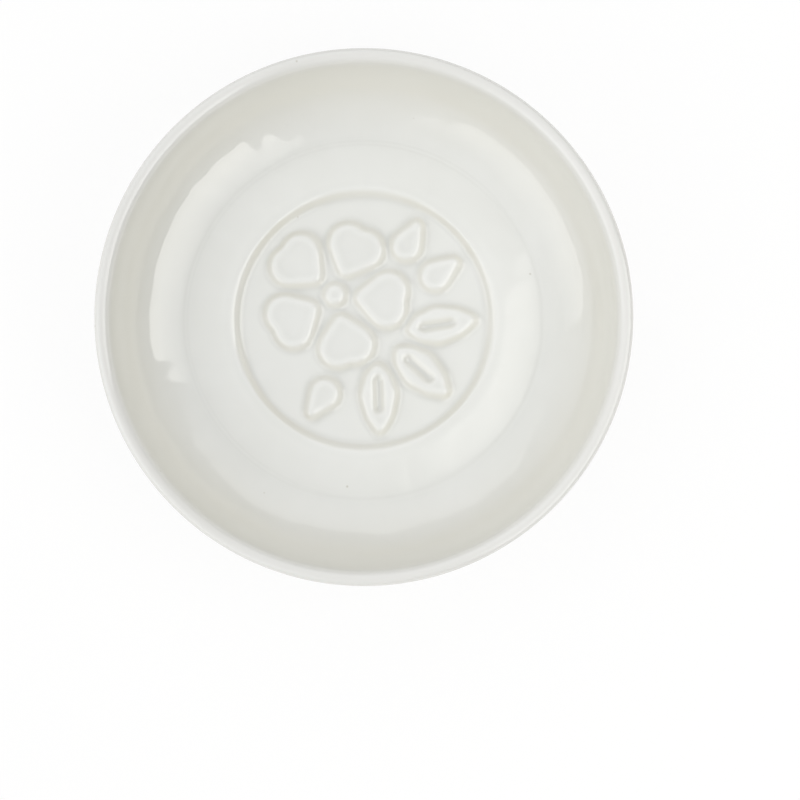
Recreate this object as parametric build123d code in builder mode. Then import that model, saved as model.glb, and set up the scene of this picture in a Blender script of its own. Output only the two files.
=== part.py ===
"""Soy sauce dish: a pressed porcelain saucer with a relief in its well, glazed all over but its foot.

Millimetres, +Z up, origin in the middle of the standing plane.
"""

import os
from math import ceil, cos, radians, sin, tan

from build123d import *

# Overall size, glaze included
rim_diameter = 96.0
overall_height = 19.0
lip_thickness = 3.0

# Medallion: the sunk disc in the middle of the well, where the sauce shows darkest
medallion_diameter = 47.0
relief_depth = 1.4
medallion_draft = 40.0

# Well: a level ledge round the medallion slopes to a moat, and the round wall rises from the moat
ledge_width = 2.0
shoulder_width = 6.7
moat_depth = 1.0
wall_start_slope = 8.0

# Foot ring and underside
foot_diameter = 55.0
foot_width = 3.2
foot_height = 2.3
foot_draft = 12.0
foot_bevel = 0.5
heel_width = 2.0
base_thickness = 3.3

# Glaze
glaze_thickness = 0.3
bare_foot_height = 1.0

# Round stretches of the section are turned in narrow cones: the widest on a wall, and the count on half a lip
wall_cone_width = 2.7
lip_cone_count = 3

# Relief pads: a blossom, its buds and its leaves, standing level with the ledge
pad_draft = 25.0
pad_margin = 1.2
blossom_centre = (-5.2, 4.6)
petal_count = 5
petal_first_angle = -5.5
petal_root_distance = 5.0
petal_root_radius = 1.2
petal_lobe_distance = 9.6
petal_lobe_radius = 3.3
petal_lobe_overlap = 1.7
petal_notch_radius = 0.8
stamen_radius = 1.8
bud_length = 4.2
bud_radius = 2.5
bud_tip_radius = 0.8
bud_places = [(12.9, 8.0), (7.7, 13.4), (-7.0, -13.2)]
bud_angles = [35.0, 62.0, -125.0]
leaf_length = 12.2
leaf_width = 6.2
leaf_belly_distance = 5.4
leaf_flank_radius = 2.4
leaf_tip_radius = 0.8
leaf_vein_width = 1.7
leaf_vein_length = 7.0
leaf_stalks = [(8.0, -1.75), (5.9, -5.25), (2.5, -8.0)]
leaf_angles = [9.0, -41.5, -88.0]

# Heights and radii that follow from the sizes above
floor_z = foot_height + base_thickness
ledge_z = floor_z + relief_depth
moat_z = ledge_z - moat_depth
lip_radius = lip_thickness / 2
lip_centre = Vector(rim_diameter / 2 - lip_radius, overall_height - lip_radius)
foot_outside = foot_diameter / 2
foot_inside = foot_outside - foot_width
foot_slant = foot_height * tan(radians(foot_draft))
medallion_slant = relief_depth * tan(radians(medallion_draft))
medallion_edge = medallion_diameter / 2
medallion_corner = medallion_edge - medallion_slant
ledge_edge = medallion_edge + ledge_width
pad_reach = medallion_corner - pad_margin - relief_depth * tan(radians(pad_draft))


def wall_arc(start, slope, side):
    """The arc that leaves start at a slope and runs smoothly into the round of the lip.

    side is 1 for the wall inside the well and -1 for the wall outside it.
    """
    to_lip = lip_centre - start
    up = Vector(-sin(radians(slope)), cos(radians(slope)))
    radius = (to_lip.dot(to_lip) - lip_radius**2) / (2 * (to_lip.dot(up) + side * lip_radius))
    arc_centre = start + up * radius
    lip_contact = arc_centre + (lip_centre - arc_centre).normalized() * radius
    return TangentArc(start, lip_contact, tangent=(cos(radians(slope)), sin(radians(slope))))


def turned(arc, cones):
    """Points that cut an arc into narrow cones, without its start."""
    return [arc @ (step / cones) for step in range(1, cones + 1)]


def inset(outline, skin):
    """The outline moved into the dish by the thickness of a skin, corner by corner."""
    points = [Vector(point) for point in outline]
    inward = [(end - start).normalized().rotate(Axis.Z, 90) for start, end in zip(points, points[1:])]
    corners = zip(points, [inward[0], *inward], [*inward, inward[-1]])
    return [point + (before + after) * (skin / (1 + before.dot(after))) for point, before, after in corners]


# Half outline of the glazed dish, from the middle of its underside round to the middle of its well
heel = Vector(foot_outside + foot_slant + heel_width, foot_height)
moat = Vector(ledge_edge + shoulder_width, moat_z)
lip_crest = lip_centre + (0, lip_radius)
outer_wall = wall_arc(heel, 0, -1)
inner_wall = wall_arc(moat, wall_start_slope, 1)
outer_lip = TangentArc(outer_wall @ 1, lip_crest, tangent=outer_wall % 1)
inner_lip = TangentArc(lip_crest, inner_wall @ 1, tangent=(-1, 0))
dish_outline = [
    (0, foot_height),
    (foot_inside - foot_slant, foot_height),
    (foot_inside, 0),
    (foot_outside, 0),
    (foot_outside + foot_slant, foot_height),
    heel,
    *turned(outer_wall, ceil(outer_wall.length / wall_cone_width)),
    *turned(outer_lip, lip_cone_count),
    *turned(inner_lip, lip_cone_count),
    *turned(inner_wall.reversed(), ceil(inner_wall.length / wall_cone_width)),
    (ledge_edge, ledge_z),
    (medallion_edge, ledge_z),
    (medallion_corner, floor_z),
    (0, floor_z),
]

# Half section of the glazed dish
with BuildSketch(Plane.XZ) as glazed_section:
    with BuildLine():
        Polyline(*dish_outline, close=True)
    make_face()
    chamfer(glazed_section.vertices().group_by(Axis.Y)[0], foot_bevel)

# The foot's tip, wiped bare of glaze
with BuildSketch(Plane.XZ) as bare_foot:
    add(glazed_section.sketch_local)
    Rectangle(rim_diameter, bare_foot_height, align=Align.MIN, mode=Mode.INTERSECT)

# Half section of the clay: a glaze thickness inside the dish, with the bare tip of the foot
with BuildSketch(Plane.XZ) as clay_section:
    with BuildLine():
        Polyline(*inset(dish_outline, glaze_thickness), close=True)
    make_face()
    add(bare_foot.sketch_local)

# Half section of the glaze: the coat over the dish and the patch under it
with BuildSketch(Plane.XZ) as glaze_section:
    add(glazed_section.sketch_local)
    add(clay_section.sketch_local, mode=Mode.SUBTRACT)
base_patch_section, coat_section = glaze_section.faces().sort_by(Axis.Y)

def petal_outline(shrink):
    """One petal, pointing along +X from the middle of the blossom, with a notch between its lobes."""
    with BuildSketch() as lobe:
        with Locations((petal_root_distance, 0)):
            Circle(petal_root_radius - shrink)
        with Locations((petal_lobe_distance, petal_lobe_radius - petal_lobe_overlap)):
            Circle(petal_lobe_radius - shrink)
        make_hull()
    with BuildSketch() as petal:
        add(lobe.sketch)
        mirror(about=Plane.XZ)
        fillet(petal.vertices().sort_by(Axis.X)[-1], petal_notch_radius + shrink)
    return petal.sketch


def bud_outline(shrink):
    """One bud, pointing along +X from its round end."""
    with BuildSketch() as bud:
        Circle(bud_radius - shrink)
        with Locations((bud_length, 0)):
            Circle(bud_tip_radius - shrink)
        make_hull()
    return bud.sketch


def leaf_outline(shrink):
    """One leaf, pointing along +X from its stalk, with a slot for its vein."""
    with BuildSketch() as leaf:
        with Locations((leaf_belly_distance, 0)):
            Circle(leaf_width / 2 - shrink)
        for tip_distance in (leaf_tip_radius, leaf_length - leaf_tip_radius):
            with Locations(((leaf_belly_distance + tip_distance) / 2, 0)):
                Circle(leaf_flank_radius - shrink)
            with Locations((tip_distance, 0)):
                Circle(leaf_tip_radius - shrink)
        make_hull()
        with Locations((leaf_belly_distance, 0)):
            SlotOverall(leaf_vein_length + 2 * shrink, leaf_vein_width + 2 * shrink, mode=Mode.SUBTRACT)
    return leaf.sketch


def relief_pads(skin):
    """The raised pads of the medallion, with skin taken off every face: none for the glazed surface."""
    shrink = skin * (1 - sin(radians(pad_draft))) / cos(radians(pad_draft))
    petal, bud, leaf = petal_outline(shrink), bud_outline(shrink), leaf_outline(shrink)
    with BuildPart() as pads:
        with BuildSketch(Plane.XY.offset(ledge_z - skin)):
            with Locations(blossom_centre):
                Circle(stamen_radius - shrink)
                with PolarLocations(0, petal_count, start_angle=petal_first_angle):
                    add(petal)
            for bud_place, bud_angle in zip(bud_places, bud_angles):
                with Locations(Location(bud_place, bud_angle)):
                    add(bud)
            for leaf_stalk, leaf_angle in zip(leaf_stalks, leaf_angles):
                with Locations(Location(leaf_stalk, leaf_angle)):
                    add(leaf)
            Circle(pad_reach - shrink, mode=Mode.INTERSECT)
        extrude(amount=-relief_depth, taper=-pad_draft)
    return pads.part


glazed_pads = relief_pads(0)
clay_pads = relief_pads(glaze_thickness)

# Fired clay body with its foot and relief
with BuildPart() as porcelain_body:
    with BuildSketch(Plane.XZ):
        add(clay_section.sketch_local)
    revolve(axis=Axis.Z)
    add(clay_pads)
porcelain_body.part.label = "porcelain_body"

# Glaze over the well, the lip and the outside, down to the bare foot
with BuildPart() as glaze_coat:
    with BuildSketch(Plane.XZ):
        add(coat_section)
    revolve(axis=Axis.Z)
    add(glazed_pads)
    add(clay_pads, mode=Mode.SUBTRACT)
glaze_coat.part.label = "glaze_coat"

# Glaze under the dish, inside the foot ring
with BuildPart() as base_glaze:
    with BuildSketch(Plane.XZ):
        add(base_patch_section)
    revolve(axis=Axis.Z)
base_glaze.part.label = "base_glaze"

os.makedirs("parts", exist_ok=True)
export_step(porcelain_body.part, "parts/porcelain_body.step")
export_step(glaze_coat.part, "parts/glaze_coat.step")
export_step(base_glaze.part, "parts/base_glaze.step")
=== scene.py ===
from math import atan2, ceil, cos, exp, pi, radians, sin, sqrt, tan

import bmesh
import bpy
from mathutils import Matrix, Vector, noise
from mathutils.bvhtree import BVHTree


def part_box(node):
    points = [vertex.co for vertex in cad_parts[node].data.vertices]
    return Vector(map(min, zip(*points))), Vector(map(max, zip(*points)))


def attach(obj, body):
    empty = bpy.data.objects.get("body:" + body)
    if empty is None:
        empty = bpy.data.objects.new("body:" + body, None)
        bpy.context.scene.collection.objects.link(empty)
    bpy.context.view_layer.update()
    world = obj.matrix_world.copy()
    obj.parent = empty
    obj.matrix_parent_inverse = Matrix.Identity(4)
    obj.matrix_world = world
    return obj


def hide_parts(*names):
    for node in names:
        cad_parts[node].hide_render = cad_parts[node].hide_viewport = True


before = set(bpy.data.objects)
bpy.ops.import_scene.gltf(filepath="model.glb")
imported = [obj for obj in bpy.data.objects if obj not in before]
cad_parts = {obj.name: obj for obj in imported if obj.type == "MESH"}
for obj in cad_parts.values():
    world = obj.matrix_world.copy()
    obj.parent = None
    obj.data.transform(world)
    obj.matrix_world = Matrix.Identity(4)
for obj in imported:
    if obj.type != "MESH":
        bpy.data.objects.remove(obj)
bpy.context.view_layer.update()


# Porcelain body: the clay of the dish, pressed with its foot ring and relief in one piece and fired white.
# Glaze covers it all but the tip of the foot, which was wiped clean, so only a matt ring shows below.

MM = 0.001
glaze_thickness = 0.3 * MM
dish_low, dish_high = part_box("glaze_coat")

# Lip and walls of the glazed dish
inner_lip_round = 1.7 * MM
outer_lip_round = 1.0 * MM
wall_start_slope = 8.0
heel_radius = 29.99 * MM

# Well: moat, ledge and sunk medallion
moat_radius = 32.2 * MM
moat_reach = 0.9 * MM
moat_blend = 0.4 * MM
ledge_radius = 25.5 * MM
ledge_round = 8.0 * MM
relief_radius = 24.5 * MM
medallion_edge = 23.5 * MM
medallion_corner = 22.3 * MM
floor_radius = 21.7 * MM
pad_reach = 20.6 * MM
pad_dip = 0.2 * MM
pad_dip_margin = 1.8 * MM
dip_probes = 12

# Softening of the pressed edges and fineness of the clay's mesh
softening = 0.5
clay_cells = 100
clay_passes = 4
clay_well_step = 1.5 * MM
clay_moat_step = 0.5 * MM
clay_lip_step = 0.6 * MM
clay_wall_step = 2.5 * MM
merge_distance = 0.001 * MM

# Foot ring and underside
foot_outside = 27.5 * MM
foot_inside = 24.3 * MM
foot_draft = 12.0
foot_round = 0.6 * MM
foot_round_step = 0.15 * MM
foot_height = 2.3 * MM
bare_height = dish_low.z


def linear(colour):
    """The linear RGBA of an sRGB hex colour."""
    channels = [int(colour[place:place + 2], 16) / 255 for place in (1, 3, 5)]
    return [c / 12.92 if c <= 0.04045 else ((c + 0.055) / 1.055) ** 2.4 for c in channels] + [1.0]


def add_node(tree, kind, inputs, **settings):
    """A node of a kind with its settings, each input given a value or linked to another node's socket."""
    node = tree.nodes.new(kind)
    for name, value in settings.items():
        setattr(node, name, value)
    for name, value in inputs.items():
        if isinstance(value, bpy.types.NodeSocket):
            tree.links.new(value, node.inputs[name])
        else:
            node.inputs[name].default_value = value
    return node


# Fired clay: a dry, chalky surface that scatters light evenly, with a fine grit and a greyer worn tip
clay = bpy.data.materials.new("fired_porcelain_clay")
clay.use_nodes = True
tree = clay.node_tree
shader = tree.nodes["Principled BSDF"]
grit_size = 0.35 * MM
grit_depth = 0.04 * MM
wear_height = 0.12 * MM
place = add_node(tree, "ShaderNodeTexCoord", {}).outputs["Object"]
height = add_node(tree, "ShaderNodeSeparateXYZ", {"Vector": place}).outputs["Z"]
grit = add_node(tree, "ShaderNodeTexNoise", {"Vector": place, "Scale": 1 / grit_size, "Detail": 3.0})
worn = add_node(tree, "ShaderNodeMapRange", {"Value": height, "From Max": wear_height, "To Min": 1.0,
                                             "To Max": 0.0})
grain = add_node(tree, "ShaderNodeMix", {"Factor": grit.outputs["Fac"], "A": linear("#E4DED2"),
                                         "B": linear("#F0ECE3")}, data_type="RGBA")
clay_colour = add_node(tree, "ShaderNodeMix", {"Factor": worn.outputs["Result"],
                                               "A": grain.outputs["Result"],
                                               "B": linear("#D2CCC1")}, data_type="RGBA")
grit_bump = add_node(tree, "ShaderNodeBump", {"Height": grit.outputs["Fac"], "Strength": 0.6,
                                              "Distance": grit_depth})
tree.links.new(clay_colour.outputs["Result"], shader.inputs["Base Color"])
tree.links.new(grit_bump.outputs["Normal"], shader.inputs["Normal"])
shader.inputs["Roughness"].default_value = 0.8
shader.inputs["IOR"].default_value = 1.5


def height_below(surface, x, y):
    """Height of a surface straight below a point over the dish."""
    return surface.ray_cast(Vector((x, y, 2 * dish_high.z)), Vector((0, 0, -1)))[0].z


def wall_circle(start, slope, lip, lip_bulge):
    """Centre and radius of a wall's round, which leaves start at a slope and runs into a round of the lip.

    lip is the middle of the lip's round and lip_bulge its radius, negative for the wall outside.
    """
    to_lip = lip - start
    up = Vector((-sin(radians(slope)), cos(radians(slope))))
    radius = (to_lip.dot(to_lip) - lip_bulge**2) / (2 * (to_lip.dot(up) + lip_bulge))
    return start + up * radius, radius


def bearing(start, end):
    """Angle in degrees from one point of the section towards another."""
    return atan2(end.y - start.y, end.x - start.x) * 180 / pi


meshes = bpy.context.evaluated_depsgraph_get()
pressed_clay = BVHTree.FromObject(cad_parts["porcelain_body"], meshes)
pressed_glaze = BVHTree.FromObject(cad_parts["glaze_coat"], meshes)
ledge_z = height_below(pressed_glaze, relief_radius, 0)
moat_z = height_below(pressed_glaze, moat_radius, 0)
floor_z = height_below(pressed_glaze, floor_radius, 0)

wall_foot = Vector((moat_radius, moat_z))
heel = Vector((heel_radius, foot_height))
inner_lip = Vector((dish_high.x - outer_lip_round, dish_high.z - inner_lip_round))
outer_lip = Vector((dish_high.x - outer_lip_round, dish_high.z - outer_lip_round))
inner_centre, inner_radius = wall_circle(wall_foot, wall_start_slope, inner_lip, inner_lip_round)
outer_centre, outer_radius = wall_circle(heel, 0, outer_lip, -outer_lip_round)
lip_inside = bearing(inner_lip, inner_centre) % 360
lip_outside = bearing(outer_centre, outer_lip)
shoulder_slope = bearing(Vector((ledge_radius, moat_z)), Vector((moat_radius, ledge_z)))
ledge_back = ledge_round * tan(radians(shoulder_slope / 2))
ledge_centre = Vector((ledge_radius - ledge_back, ledge_z - ledge_round))
wall_start = wall_start_slope + moat_reach / inner_radius * 180 / pi
foot_lean = tan(radians(foot_draft))
flank_shift = glaze_thickness / cos(radians(foot_draft))


def moat_height(across):
    """Height of the well beside the crease of the moat, which has a small round."""
    fall, rise = tan(radians(shoulder_slope)), tan(radians(wall_start_slope))
    hollow = (rise - fall) / 2 * across + (rise + fall) / 2 * sqrt(across**2 + moat_blend**2)
    return moat_z + hollow + max(0.0, across) ** 2 / (2 * inner_radius)


def arc(centre, radius, start, end, spacing):
    """Points along an arc about centre, between two angles in degrees, both ends included."""
    steps = max(2, ceil(abs(radians(end - start)) * radius / spacing))
    angles = [radians(start + (end - start) * step / steps) for step in range(steps + 1)]
    return [Vector(centre) + radius * Vector((cos(angle), sin(angle))) for angle in angles]


def run(start, end, spacing):
    """Points along the straight stretch between two points, neither end included."""
    steps = ceil((end - start).length / spacing)
    return [start.lerp(end, step / steps) for step in range(1, steps)]


def well_section(skin, wall_step, moat_step):
    """Half section of the well from its ledge down to the moat and up the wall, a skin's thickness in."""
    ledge = arc(ledge_centre, ledge_round - skin, 90, 90 - shoulder_slope, wall_step)
    moat_steps = ceil(moat_reach / moat_step)
    crossings = [moat_reach * step / moat_steps for step in range(-moat_steps, moat_steps + 1)]
    moat = [Vector((moat_radius + across, moat_height(across) - skin)) for across in crossings]
    wall = arc(inner_centre, inner_radius + skin, wall_start - 90, lip_inside - 180, wall_step)
    return [*ledge, *run(ledge[-1], moat[0], wall_step), *moat, *wall[1:]]


def outside_section(skin, lip_step, wall_step):
    """Half section of the outside from the well over the lip and down to the heel, a skin's thickness in."""
    inside = arc(inner_lip, inner_lip_round - skin, lip_inside, 90, lip_step)
    outside = arc(outer_lip, outer_lip_round - skin, 90, lip_outside, lip_step)
    wall = arc(outer_centre, outer_radius - skin, lip_outside, -90, wall_step)
    return [*inside, *outside[1:], *wall[1:]]


def press_relief(bm, surface, cells, passes):
    """A disc of fine square cells laid on a pressed surface, with each pad dished and each edge softened."""
    bmesh.ops.create_grid(bm, x_segments=cells, y_segments=cells, size=1.0)
    for vert in bm.verts:
        x = relief_radius * vert.co.x * sqrt(1 - vert.co.y**2 / 2)
        y = relief_radius * vert.co.y * sqrt(1 - vert.co.x**2 / 2)
        vert.co = (x, y, height_below(surface, x, y))
    half_way = (height_below(surface, relief_radius, 0) + height_below(surface, floor_radius, 0)) / 2
    turns = [2 * pi * step / dip_probes for step in range(dip_probes)]
    probes = [pad_dip_margin * Vector((cos(turn), sin(turn))) for turn in turns]
    for vert in bm.verts:
        if vert.co.z > half_way and vert.co.xy.length < pad_reach:
            covered = [height_below(surface, *(vert.co.xy + probe)) > half_way for probe in probes]
            vert.co.z -= pad_dip * max(0.0, 2 * sum(covered) / dip_probes - 1)
    inside = [vert for vert in bm.verts if not vert.is_boundary]
    for _ in range(passes):
        bmesh.ops.smooth_vert(bm, verts=inside, factor=softening, use_axis_z=True)


def draw_rings(bm, section):
    """The open rim of a round mesh drawn out ring by ring along a half section."""
    rim = [edge for edge in bm.edges if edge.is_boundary]
    for point in section:
        made = bmesh.ops.extrude_edge_only(bm, edges=rim)["geom"]
        rim = [item for item in made if isinstance(item, bmesh.types.BMEdge) and item.is_boundary]
        for vert in (item for item in made if isinstance(item, bmesh.types.BMVert)):
            vert.co.xy = vert.co.xy.normalized() * point.x
            vert.co.z = point.y


def close_shell(bm):
    """The last open ring closed with a face, doubles merged and every face turned outwards."""
    bmesh.ops.contextual_create(bm, geom=[edge for edge in bm.edges if edge.is_boundary])
    bmesh.ops.remove_doubles(bm, verts=bm.verts, dist=merge_distance)
    bmesh.ops.recalc_face_normals(bm, faces=bm.faces)


def add_piece(name, bm, material, node):
    """The finished mesh as a piece that stands for a CAD node, smooth and riding on the dish."""
    mesh = bpy.data.meshes.new(name)
    bm.to_mesh(mesh)
    bm.free()
    mesh.shade_smooth()
    mesh.materials.append(material)
    piece = bpy.data.objects.new(name, mesh)
    bpy.context.scene.collection.objects.link(piece)
    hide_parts(node)
    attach(piece, "root")


clay_underside = foot_height + glaze_thickness
tip_inset = foot_round * (1 - sin(radians(foot_draft))) / cos(radians(foot_draft))
body_section = [
    *well_section(glaze_thickness, clay_well_step, clay_moat_step),
    *outside_section(glaze_thickness, clay_lip_step, clay_wall_step),
    Vector((foot_outside + clay_underside * foot_lean - flank_shift, clay_underside)),
    Vector((foot_outside + bare_height * foot_lean - flank_shift, bare_height)),
    Vector((foot_outside + bare_height * foot_lean, bare_height)),
    *arc((foot_outside - tip_inset, foot_round), foot_round, -foot_draft, -90, foot_round_step),
    *arc((foot_inside + tip_inset, foot_round), foot_round, -90, foot_draft - 180, foot_round_step),
    Vector((foot_inside - bare_height * foot_lean, bare_height)),
    Vector((foot_inside - bare_height * foot_lean + flank_shift, bare_height)),
    Vector((foot_inside - clay_underside * foot_lean + flank_shift, clay_underside)),
]
body = bmesh.new()
press_relief(body, pressed_clay, clay_cells, clay_passes)
draw_rings(body, body_section)
close_shell(body)
add_piece("porcelain_body_clay", body, clay, "porcelain_body")


# Base glaze: the patch of glaze on the underside, inside the foot ring. It ran into the corner there and set
# with a soft round, and it ends in a rolled edge where the foot was wiped.

# Porcelain glaze: a thin clear glass over white clay, fired glossy. It is whiter over an edge and greyer
# where it pooled in a hollow. Near the top of the lip it is greyer, for glaze run thin there and as painted
# shade that dims the lip. On steep faces it is creamier and darker, for glaze run thin there and as painted
# warm shade. It has slight waves and a rare iron speck.
glaze = bpy.data.materials.new("porcelain_glaze")
glaze.use_nodes = True
tree = glaze.node_tree
shader = tree.nodes["Principled BSDF"]
cloud_size = 22.0 * MM
wave_size = 5.0 * MM
wave_depth = 0.012 * MM
edge_bend = -0.2
hollow_bend = 0.6
thin_and_shade_start = 0.02
thin_and_shade_end = 0.35
thin_and_shade_share = 0.5
speck_spacing = 3.0 * MM
speck_radius = 0.3 * MM
speck_share = 0.02
place = add_node(tree, "ShaderNodeTexCoord", {}).outputs["Object"]
pooling = add_node(tree, "ShaderNodeAttribute", {}, attribute_name="glaze_pooling").outputs["Fac"]
steepness = add_node(tree, "ShaderNodeAttribute", {}, attribute_name="glaze_steepness").outputs["Fac"]
lip_thin_and_shade = add_node(tree, "ShaderNodeAttribute", {}, attribute_name="glaze_lip_thin_and_shade").outputs["Fac"]
clouds = add_node(tree, "ShaderNodeTexNoise", {"Vector": place, "Scale": 1 / cloud_size, "Detail": 2.0})
waves = add_node(tree, "ShaderNodeTexNoise", {"Vector": place, "Scale": 1 / wave_size, "Detail": 1.0})
cells = add_node(tree, "ShaderNodeTexVoronoi", {"Vector": place, "Scale": 1 / speck_spacing})
draw = add_node(tree, "ShaderNodeSeparateColor", {"Color": cells.outputs["Color"]})
near = add_node(tree, "ShaderNodeMapRange", {"Value": cells.outputs["Distance"],
                                             "From Max": speck_radius / speck_spacing,
                                             "To Min": 1.0, "To Max": 0.0})
chosen = add_node(tree, "ShaderNodeMath", {0: draw.outputs["Red"], 1: speck_share}, operation="LESS_THAN")
speck = add_node(tree, "ShaderNodeMath", {0: near.outputs["Result"], 1: chosen.outputs["Value"]},
                 operation="MULTIPLY")
depth = add_node(tree, "ShaderNodeMapRange", {"Value": pooling, "From Min": edge_bend,
                                              "From Max": hollow_bend})
glass = add_node(tree, "ShaderNodeMix", {"Factor": depth.outputs["Result"], "A": linear("#E9EAE8"),
                                         "B": linear("#DADBD8")}, data_type="RGBA")
# Painted warm shade: creamier and darker on steep faces, also standing for glaze run thin there
steep_thin_and_shade = add_node(tree, "ShaderNodeMapRange", {"Value": steepness, "From Min": thin_and_shade_start,
                                                "From Max": thin_and_shade_end, "To Max": thin_and_shade_share})
steep_thin_and_shaded = add_node(tree, "ShaderNodeMix", {"Factor": steep_thin_and_shade.outputs["Result"],
                                           "A": glass.outputs["Result"],
                                           "B": linear("#DFDCD0")}, data_type="RGBA")
# Painted shade: greyer near the top of the lip to dim it, also standing for glaze run thin there
lip_thin_and_shaded = add_node(tree, "ShaderNodeMix", {"Factor": lip_thin_and_shade, "A": steep_thin_and_shaded.outputs["Result"],
                                         "B": linear("#E4E4E2")}, data_type="RGBA")
cloudy = add_node(tree, "ShaderNodeMix", {"Factor": clouds.outputs["Fac"], "A": linear("#FFFFFF"),
                                          "B": linear("#FAFAF8")}, data_type="RGBA")
tinted = add_node(tree, "ShaderNodeMix", {"Factor": 1.0, "A": lip_thin_and_shaded.outputs["Result"],
                                          "B": cloudy.outputs["Result"]},
                  data_type="RGBA", blend_type="MULTIPLY")
specked = add_node(tree, "ShaderNodeMix", {"Factor": speck.outputs["Value"], "A": tinted.outputs["Result"],
                                           "B": linear("#BDB9AE")}, data_type="RGBA")
wave_bump = add_node(tree, "ShaderNodeBump", {"Height": waves.outputs["Fac"], "Strength": 1.0,
                                              "Distance": wave_depth})
tree.links.new(specked.outputs["Result"], shader.inputs["Base Color"])
tree.links.new(wave_bump.outputs["Normal"], shader.inputs["Normal"])
shader.inputs["Roughness"].default_value = 0.06
shader.inputs["IOR"].default_value = 1.6

pool_round = 0.9 * MM
pool_step = 0.2 * MM
edge_round = 0.2 * MM
edge_step = 0.1 * MM
patch_turns = 192

pool_z = foot_height - pool_round
lean_reach = pool_round / cos(radians(foot_draft))
patch_outside = foot_inside - bare_height * foot_lean
patch_section = [
    Vector((0, foot_height)),
    *arc((foot_inside - pool_z * foot_lean - lean_reach, pool_z), pool_round, 90, foot_draft, pool_step),
    *arc((patch_outside + edge_round, bare_height + edge_round), edge_round, 180, 270, edge_step),
    Vector((patch_outside + flank_shift, bare_height)),
    Vector((foot_inside - clay_underside * foot_lean + flank_shift, clay_underside)),
    Vector((0, clay_underside)),
]
patch = bmesh.new()
corners = [patch.verts.new((point.x, 0, point.y)) for point in patch_section]
sides = [patch.edges.new(pair) for pair in zip(corners, corners[1:])]
bmesh.ops.spin(patch, geom=corners + sides, axis=(0, 0, 1), cent=(0, 0, 0), steps=patch_turns,
               angle=2 * pi, use_merge=True)
bmesh.ops.remove_doubles(patch, verts=patch.verts, dist=merge_distance)
bmesh.ops.recalc_face_normals(patch, faces=patch.faces)
add_piece("base_glaze_patch", patch, glaze, "base_glaze")


# Glaze coat: the glaze over the well, the lip and the outside, down to the bare foot. The dish was dipped, so
# the coat rounds every edge of the pressed relief and wavers slightly all over the well.

coat_cells = 150
coat_passes = 9
coat_well_step = 0.9 * MM
coat_moat_step = 0.1 * MM
coat_lip_step = 0.35 * MM
coat_wall_step = 1.8 * MM
hidden_step = 4.0 * MM
wave_height = 0.16 * MM
wave_length = 8.0 * MM
wave_fall = 1.0
wave_gap = 2.0
wave_octaves = 2
still_radius = 45.0 * MM
wave_fade = 7.0 * MM
bead_height = 0.03 * MM
bead_width = 0.35 * MM
bead_patch = 25.0 * MM
bead_cover = 0.3
# Depth below the lip's top over which the painted shade of the lip fades out
lip_thin_and_shade_reach = 2.4 * MM

flank_foot = foot_outside + bare_height * foot_lean
flank_pool = foot_outside + pool_z * foot_lean + lean_reach
coat_section = [
    *outside_section(0, coat_lip_step, coat_wall_step),
    *arc((flank_pool, pool_z), pool_round, 90, 180 - foot_draft, pool_step),
    *arc((flank_foot - edge_round, bare_height + edge_round), edge_round, 0, -90, edge_step),
    Vector((flank_foot - flank_shift, bare_height)),
    Vector((foot_outside + clay_underside * foot_lean - flank_shift, clay_underside)),
    *reversed(outside_section(glaze_thickness, hidden_step, hidden_step)),
    *reversed(well_section(glaze_thickness, hidden_step, hidden_step)),
    Vector((medallion_edge, ledge_z - glaze_thickness)),
    Vector((medallion_corner, floor_z - glaze_thickness)),
]
coat = bmesh.new()
press_relief(coat, pressed_glaze, coat_cells, coat_passes)
draw_rings(coat, well_section(0, coat_well_step, coat_moat_step))
for vert in coat.verts:
    radius = vert.co.xy.length
    fade = min(1.0, max(0.0, (still_radius - radius) / wave_fade))
    bead = bead_height * exp(-(((radius - moat_radius) / bead_width) ** 2))
    shown = max(0.0, noise.noise(vert.co / bead_patch) + bead_cover)
    wave = noise.fractal(vert.co / wave_length, wave_fall, wave_gap, wave_octaves)
    vert.co.z += wave_height * fade * wave + bead * shown
draw_rings(coat, coat_section)
close_shell(coat)

coat.normal_update()
pooling_layer = coat.verts.layers.float.new("glaze_pooling")
steepness_layer = coat.verts.layers.float.new("glaze_steepness")
lip_thin_and_shade_layer = coat.verts.layers.float.new("glaze_lip_thin_and_shade")
for vert in coat.verts:
    spans = [edge.other_vert(vert).co - vert.co for edge in vert.link_edges]
    bend = sum(2 * span.dot(vert.normal) / span.length_squared for span in spans) / len(spans)
    vert[pooling_layer] = bend * MM
    # Steepness: the mask of the painted warm shade on steep faces
    vert[steepness_layer] = 1 - abs(vert.normal.z)
    # Near the top of the lip: the mask of the painted shade that dims the lip, also thin glaze there
    vert[lip_thin_and_shade_layer] = max(0.0, 1 - (dish_high.z - vert.co.z) / lip_thin_and_shade_reach)
add_piece("glaze_coat_surface", coat, glaze, "glaze_coat")


# Stage: a plain white table, soft lights round it and a camera almost straight above, with the dish left of
# and above the middle of the frame.

table_reach = 3.0
white_share = 0.9
mirrored_share = 0.6
light_distance = 0.6
# Each soft light: azimuth and zenith angle in degrees, width, share of that width at its top, height,
# brightness and colour
soft_lights = {
    "right_soft_box": (-20.0, 35.5, 0.82, 0.41, 0.54, 2.55, "#FFFEFB"),
    "left_soft_box": (-150.0, 52.0, 0.70, 1.0, 0.42, 1.2, "#FFFFFF"),
    "back_panel": (90.0, 40.0, 0.90, 1.0, 0.50, 0.78, "#FFFFFF"),
}
corner_power = 6.0
even_height = 0.35
top_brightness = 0.16
room_light = 0.53
room_lean = 0.9
camera_elevation = 86.5
camera_distance = 0.8
pixels_per_metre = 5625.0
image_pixels = 800
dish_pixel = (363.8, 315.8)

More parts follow.
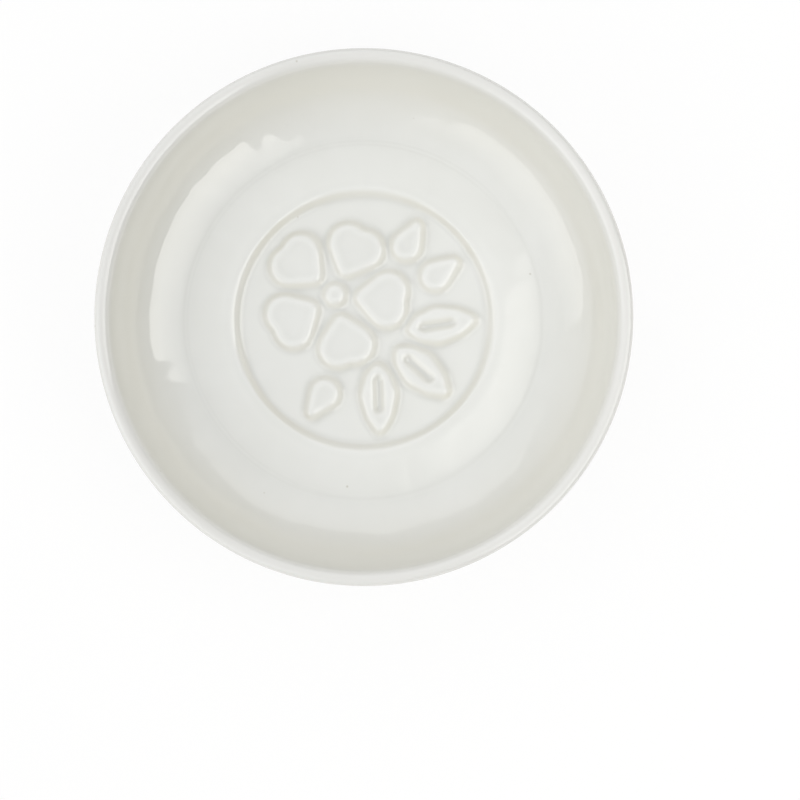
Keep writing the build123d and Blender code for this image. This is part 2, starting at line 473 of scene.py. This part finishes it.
table = bmesh.new()
bmesh.ops.create_grid(table, x_segments=1, y_segments=1, size=table_reach)
table_mesh = bpy.data.meshes.new("table")
table.to_mesh(table_mesh)
table.free()
table_top = bpy.data.objects.new("table", table_mesh)
bpy.context.scene.collection.objects.link(table_top)

# White laminate: evenly white to the eye, with the soft shadow of the dish on it
laminate = bpy.data.materials.new("white_laminate")
laminate.use_nodes = True
tree = laminate.node_tree
shader = tree.nodes["Principled BSDF"]
shader.inputs["Base Color"].default_value = linear("#F8F8F7")
shader.inputs["Roughness"].default_value = 0.9
rays = add_node(tree, "ShaderNodeLightPath", {})
seen = add_node(tree, "ShaderNodeMath", {0: rays.outputs["Is Camera Ray"], 1: white_share},
                operation="MULTIPLY")
turned = add_node(tree, "ShaderNodeMath", {0: rays.outputs["Is Glossy Ray"],
                                           1: rays.outputs["Is Transmission Ray"]}, operation="MAXIMUM")
mirrored = add_node(tree, "ShaderNodeMath", {0: turned.outputs["Value"], 1: mirrored_share},
                    operation="MULTIPLY")
share = add_node(tree, "ShaderNodeMath", {0: seen.outputs["Value"], 1: mirrored.outputs["Value"]},
                 operation="MAXIMUM")
white = add_node(tree, "ShaderNodeEmission", {"Color": linear("#FFFFFF"), "Strength": 1.0})
blend = add_node(tree, "ShaderNodeMixShader", {0: share.outputs["Value"], 1: shader.outputs["BSDF"],
                                               2: white.outputs["Emission"]})
tree.links.new(blend.outputs["Shader"], tree.nodes["Material Output"].inputs["Surface"])
table_mesh.materials.append(laminate)

# Each soft light glows in a trapezium with rounded corners, dimmer towards its top
for name, (azimuth, zenith, width, top_share, height, radiance, colour) in soft_lights.items():
    lamp = bpy.data.lights.new(name, "AREA")
    lamp.shape = "RECTANGLE"
    lamp.size = width
    lamp.size_y = height
    lamp.energy = radiance * pi * width * height
    lamp.color = linear(colour)[:3]
    lamp.use_nodes = True
    tree = lamp.node_tree
    panel = add_node(tree, "ShaderNodeNewGeometry", {}).outputs["Parametric"]
    place = add_node(tree, "ShaderNodeSeparateXYZ", {"Vector": panel})
    glow = add_node(tree, "ShaderNodeMapRange", {"Value": place.outputs["Y"], "From Min": even_height,
                                                 "To Min": 1.0, "To Max": top_brightness})
    reach = add_node(tree, "ShaderNodeMapRange", {"Value": place.outputs["Y"], "To Min": 0.5,
                                                  "To Max": top_share / 2})
    off_axis = add_node(tree, "ShaderNodeMath", {0: place.outputs["X"], 1: 0.5}, operation="SUBTRACT")
    sideways = add_node(tree, "ShaderNodeMath", {0: off_axis.outputs["Value"], 1: reach.outputs["Result"]},
                        operation="DIVIDE")
    upward = add_node(tree, "ShaderNodeMath", {0: place.outputs["Y"], 1: 2.0, 2: -1.0},
                      operation="MULTIPLY_ADD")
    side_power = add_node(tree, "ShaderNodeMath", {0: sideways.outputs["Value"], 1: corner_power},
                          operation="POWER")
    end_power = add_node(tree, "ShaderNodeMath", {0: upward.outputs["Value"], 1: corner_power},
                         operation="POWER")
    spread = add_node(tree, "ShaderNodeMath", {0: side_power.outputs["Value"], 1: end_power.outputs["Value"]},
                      operation="ADD")
    inside = add_node(tree, "ShaderNodeMath", {0: spread.outputs["Value"], 1: 1.0}, operation="LESS_THAN")
    shown = add_node(tree, "ShaderNodeMath", {0: glow.outputs["Result"], 1: inside.outputs["Value"]},
                     operation="MULTIPLY")
    tree.links.new(shown.outputs["Value"], tree.nodes["Emission"].inputs["Strength"])
    soft_light = bpy.data.objects.new(name, lamp)
    turn, lean = radians(azimuth), radians(zenith)
    towards = Vector((sin(lean) * cos(turn), sin(lean) * sin(turn), cos(lean)))
    soft_light.location = towards * light_distance
    soft_light.rotation_euler = towards.to_track_quat("Z", "Y").to_euler()
    bpy.context.scene.collection.objects.link(soft_light)

# The room is brighter on the left
world = bpy.data.worlds.new("studio")
world.use_nodes = True
tree = world.node_tree
direction = add_node(tree, "ShaderNodeTexCoord", {}).outputs["Generated"]
towards = add_node(tree, "ShaderNodeSeparateXYZ", {"Vector": direction})
glow = add_node(tree, "ShaderNodeMapRange", {"Value": towards.outputs["X"], "From Min": -1.0,
                                             "From Max": 1.0, "To Min": room_light * (1 + room_lean),
                                             "To Max": room_light * (1 - room_lean)})
tree.links.new(glow.outputs["Result"], tree.nodes["Background"].inputs["Strength"])
tree.nodes["Background"].inputs["Color"].default_value = linear("#FFFFFF")
bpy.context.scene.world = world
bpy.context.scene.view_settings.view_transform = "Standard"

lens = bpy.data.cameras.new("camera")
camera = bpy.data.objects.new("camera", lens)
lens.lens = lens.sensor_width * camera_distance * pixels_per_metre / image_pixels
lens.shift_x = 0.5 - dish_pixel[0] / image_pixels
lens.shift_y = dish_pixel[1] / image_pixels - 0.5
tilt = radians(90 - camera_elevation)
camera.location = Vector((0, -sin(tilt), cos(tilt))) * camera_distance + Vector((0, 0, dish_high.z))
camera.rotation_euler = (tilt, 0, 0)
bpy.context.scene.collection.objects.link(camera)
bpy.context.scene.camera = camera
